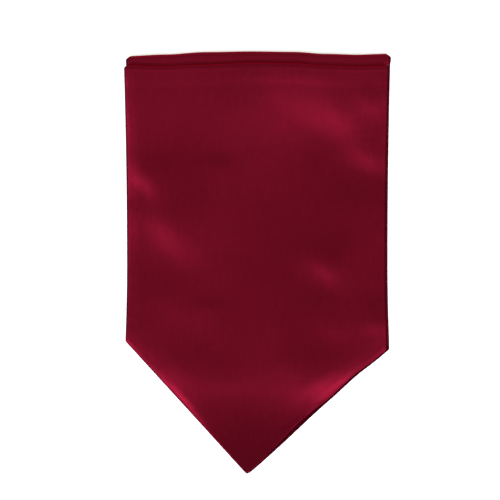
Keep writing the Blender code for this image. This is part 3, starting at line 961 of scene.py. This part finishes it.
def stitches(name, line, seed):
    """Seam stitches along a line, as one plain mesh."""
    cloth = bpy.context.scene.cravat_cloth
    build = Build(f"{name}_thread")
    colour = (*bpy.context.scene.cravat_colours.thread, 1.0)
    material = build.surface(
        base_color=colour, roughness=THREAD_ROUGHNESS, specular_ior_level=THREAD_SHINE
    )
    mesh = bpy.data.meshes.new(name)
    mesh.from_pydata(line.tolist(), [(i, i + 1) for i in range(len(line) - 1)], [])
    made = bpy.data.objects.new(name, mesh)
    bpy.context.scene.collection.objects.link(made)
    modifier = made.modifiers.new("stitches", "NODES")
    tree = stitch_tree()
    modifier.node_group = tree
    values = {
        "Pitch": cloth.stitch_pitch,
        "Length": cloth.stitch_length,
        "Thickness": cloth.thread_thickness,
        "Stray": STITCH_STRAY * cloth.thread_thickness,
        "Seed": seed,
        "Material": material,
    }
    for socket in tree.interface.items_tree:
        if socket.in_out == "INPUT" and socket.name in values:
            modifier[socket.identifier] = values[socket.name]
    made.update_tag()
    sewn = made.evaluated_get(bpy.context.evaluated_depsgraph_get())
    plain = bpy.data.meshes.new_from_object(sewn)
    made.modifiers.remove(modifier)
    made.data = plain
    plain.name = name
    return made


def ride(made, node=None):
    """Puts a finished piece on the body, in place of its solid."""
    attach(made, BODY)
    if node:
        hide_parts(node)


def shaded(context, share):
    """The satin's colour times this share: a lighter or darker copy, which is painted light or shade."""
    return [share * channel for channel in context.scene.cravat_colours.satin]


class CRAVAT_OT_blade_face(bpy.types.Operator):
    """Makes the face panel of the first blade, over its fold and back under it"""

    bl_idname = "cravat.blade_face"
    bl_label = "Blade face"

    def execute(self, context):
        seed = context.scene.cravat_stage.seed

        def top(x, y):
            return support(x, y) + relief(x, y, seed)

        def skin(distance):
            return rounded_off(distance, PANEL - EDGE_LIP, EDGE_ROLL)

        outer = blade_grid(FIRST, skin, top, FACE_SPACING)
        inner = blade_grid(FIRST, lambda distance: PANEL + 0 * distance, top, FACE_SPACING)
        made = wall("blade_face", outer, inner, satin("satin_face", shaded(context, 1.0)))
        ride(made, "blade_face")
        line = seam_line(FIRST, lambda x, y: top(x, y) - PANEL - SEAM_GAP / 2)
        sewing = stitches("seam_first", line, seed)
        ride(sewing)
        return {"FINISHED"}


class CRAVAT_OT_blade_reverse(bpy.types.Operator):
    """Makes the reverse panel of the first blade, inside its fold"""

    bl_idname = "cravat.blade_reverse"
    bl_label = "Blade reverse"

    def execute(self, context):
        seed = context.scene.cravat_stage.seed
        near, far = PANEL + SEAM_GAP, 2 * PANEL + SEAM_GAP

        def top(x, y):
            high = relief(x, y, seed)
            return support(x, y) + np.minimum(high, REVERSE_FOLLOWS * high)

        def skin(distance):
            return far - rounded_off(distance, PANEL - EDGE_LIP, EDGE_ROLL)

        outer = blade_grid(FIRST, lambda distance: near + 0 * distance, top, PLAIN_SPACING)
        inner = blade_grid(FIRST, skin, top, PLAIN_SPACING)
        # Painted shade: the reverse is a darker copy of the face's satin
        material = satin("satin_reverse", shaded(context, REVERSE_PAINTED_SHADE))
        made = wall("blade_reverse", outer, inner, material)
        ride(made, "blade_reverse")
        return {"FINISHED"}


class CRAVAT_OT_under_blade(bpy.types.Operator):
    """Makes the second blade, which lies flat on the surface and turns over at the far fold"""

    bl_idname = "cravat.under_blade"
    bl_label = "Under blade"

    def execute(self, context):
        def floor(x, y):
            return np.zeros_like(x)

        def outside(distance):
            return rounded_off(distance, UNDER_EDGE, UNDER_EDGE_ROLL)

        def inside(distance):
            return UNDER_WALL - outside(distance)

        outer = blade_grid(SECOND, outside, floor, PLAIN_SPACING)
        inner = blade_grid(SECOND, inside, floor, PLAIN_SPACING)
        rows, cols = outer[0].shape[:2]
        border = border_of(rows, cols)
        middle = (outer[0].reshape(-1, 3)[border] + inner[0].reshape(-1, 3)[border]) / 2
        tangent = np.roll(middle, -1, 0) - np.roll(middle, 1, 0)
        inward = np.cross([0.0, 0.0, 1.0], tangent)
        inward /= np.maximum(np.linalg.norm(inward, axis=1), 1e-9)[:, None]
        groove = middle + inward * UNDER_GROOVE
        # Painted light: the second blade is a lighter copy of the face's satin, with painted shade on
        # its seams
        colour = shaded(context, UNDER_PAINTED_LIGHT)
        material = satin("satin_under", colour, BAND_PAINTED_FOLD_LIGHT, UNDER_PAINTED_SEAM_SHADE, BAND_PAINTED_FOLD_SHADE)
        made = wall("under_blade", outer, inner, material, [groove])
        ride(made, "under_blade")
        line = seam_line(SECOND, lambda x, y: UNDER_WALL / 2 + 0 * x)
        sewing = stitches("seam_second", line, context.scene.cravat_stage.seed + 1)
        ride(sewing)
        return {"FINISHED"}


class CRAVAT_OT_neck_layers(bpy.types.Operator):
    """Makes the folded neck band and the rest of the first blade, layer on layer between the blades"""

    bl_idname = "cravat.neck_layers"
    bl_label = "Neck layers"

    def execute(self, context):
        place, out = neck_outline()
        rings, faces = [], []
        for layer in range(len(LAYER_STEPS)):
            added = folded_layer(place, out, layer)
            faces += layer_faces(len(rings) * NECK_POINTS, len(added))
            rings += added
        points = np.concatenate(rings)
        # Painted shade: the folded layers are a darker copy of the face's satin
        material = satin("satin_folded", shaded(context, FOLDED_PAINTED_SHADE))
        made = piece("neck_layers", points, faces, points[:, :2], np.ones(len(points)), material)
        ride(made, "neck_layers")
        return {"FINISHED"}


class CRAVAT_OT_stage(bpy.types.Operator):
    """Sets the floor, the soft lights, the plain surroundings and the camera"""

    bl_idname = "cravat.stage"
    bl_label = "Stage"

    def execute(self, context):
        stage = context.scene.cravat_stage
        self.make_floor(stage)
        self.make_surroundings(context, stage)
        for lamp in LIGHTS:
            self.make_light(lamp, lamp.power * stage.light)
        self.make_camera(context, stage)
        return {"FINISHED"}

    def make_floor(self, stage):
        mesh = bpy.data.meshes.new("floor")
        half = stage.floor_size / 2
        corners = [(-half, -half, 0.0), (half, -half, 0.0), (half, half, 0.0), (-half, half, 0.0)]
        mesh.from_pydata(corners, [], [(0, 1, 2, 3)])
        build = Build("floor_paper")
        build.surface(
            base_color=(*stage.floor_colour, 1.0),
            roughness=FLOOR_ROUGHNESS,
            specular_ior_level=0.0,
            emission_color=(1.0, 1.0, 1.0, 1.0),
            emission_strength=stage.floor_glow,
        )
        mesh.materials.append(build.material)
        floor = bpy.data.objects.new("floor", mesh)
        bpy.context.scene.collection.objects.link(floor)

    def make_surroundings(self, context, stage):
        world = bpy.data.worlds.new("surroundings")
        context.scene.world = world
        world.use_nodes = True
        plain = world.node_tree.nodes["Background"]
        plain.inputs["Color"].default_value = (1.0, 1.0, 1.0, 1.0)
        plain.inputs["Strength"].default_value = stage.sky
        context.scene.view_settings.view_transform = "Standard"

    def make_light(self, lamp, power):
        light = bpy.data.lights.new(lamp.name, "AREA")
        light.shape = "RECTANGLE"
        light.size, light.size_y = lamp.size
        light.color = lamp.colour
        light.energy = power
        made = bpy.data.objects.new(lamp.name, light)
        made.location = lamp.place
        made.rotation_euler = (-Vector(lamp.place)).to_track_quat("-Z", "Y").to_euler()
        bpy.context.scene.collection.objects.link(made)

    def make_camera(self, context, stage):
        camera = bpy.data.cameras.new("camera")
        camera.lens = stage.camera_lens
        eye = bpy.data.objects.new("camera", camera)
        away = PHOTO_WIDTH * camera.lens / camera.sensor_width
        eye.location = (PHOTO_X, PHOTO_Y, away + PHOTO_Z)
        context.scene.collection.objects.link(eye)
        context.scene.camera = eye


class CRAVAT_PT_pieces(bpy.types.Panel):
    """Lists the pieces of the folded cravat"""

    bl_idname = "CRAVAT_PT_pieces"
    bl_label = "Folded cravat"
    bl_space_type = "VIEW_3D"
    bl_region_type = "UI"
    bl_category = "Cravat"

    def draw(self, context):
        for operator in OPERATORS:
            self.layout.operator(operator.bl_idname)
        for group in (context.scene.cravat_cloth, context.scene.cravat_colours):
            for name in group.__annotations__:
                self.layout.prop(group, name)


OPERATORS = (
    CRAVAT_OT_blade_face,
    CRAVAT_OT_blade_reverse,
    CRAVAT_OT_under_blade,
    CRAVAT_OT_neck_layers,
    CRAVAT_OT_stage,
)
GROUPS = {
    "cravat_cloth": CravatCloth,
    "cravat_colours": CravatColours,
    "cravat_stage": CravatStage,
}


def register():
    for made in (*GROUPS.values(), *OPERATORS, CRAVAT_PT_pieces):
        bpy.utils.register_class(made)
    for name, group in GROUPS.items():
        setattr(bpy.types.Scene, name, PointerProperty(type=group))


def unregister():
    for name in GROUPS:
        delattr(bpy.types.Scene, name)
    for made in reversed((*GROUPS.values(), *OPERATORS, CRAVAT_PT_pieces)):
        bpy.utils.unregister_class(made)


def main():
    register()
    bpy.ops.cravat.stage()
    bpy.ops.cravat.blade_face()
    bpy.ops.cravat.blade_reverse()
    bpy.ops.cravat.under_blade()
    bpy.ops.cravat.neck_layers()


if __name__ == "__main__":
    main()
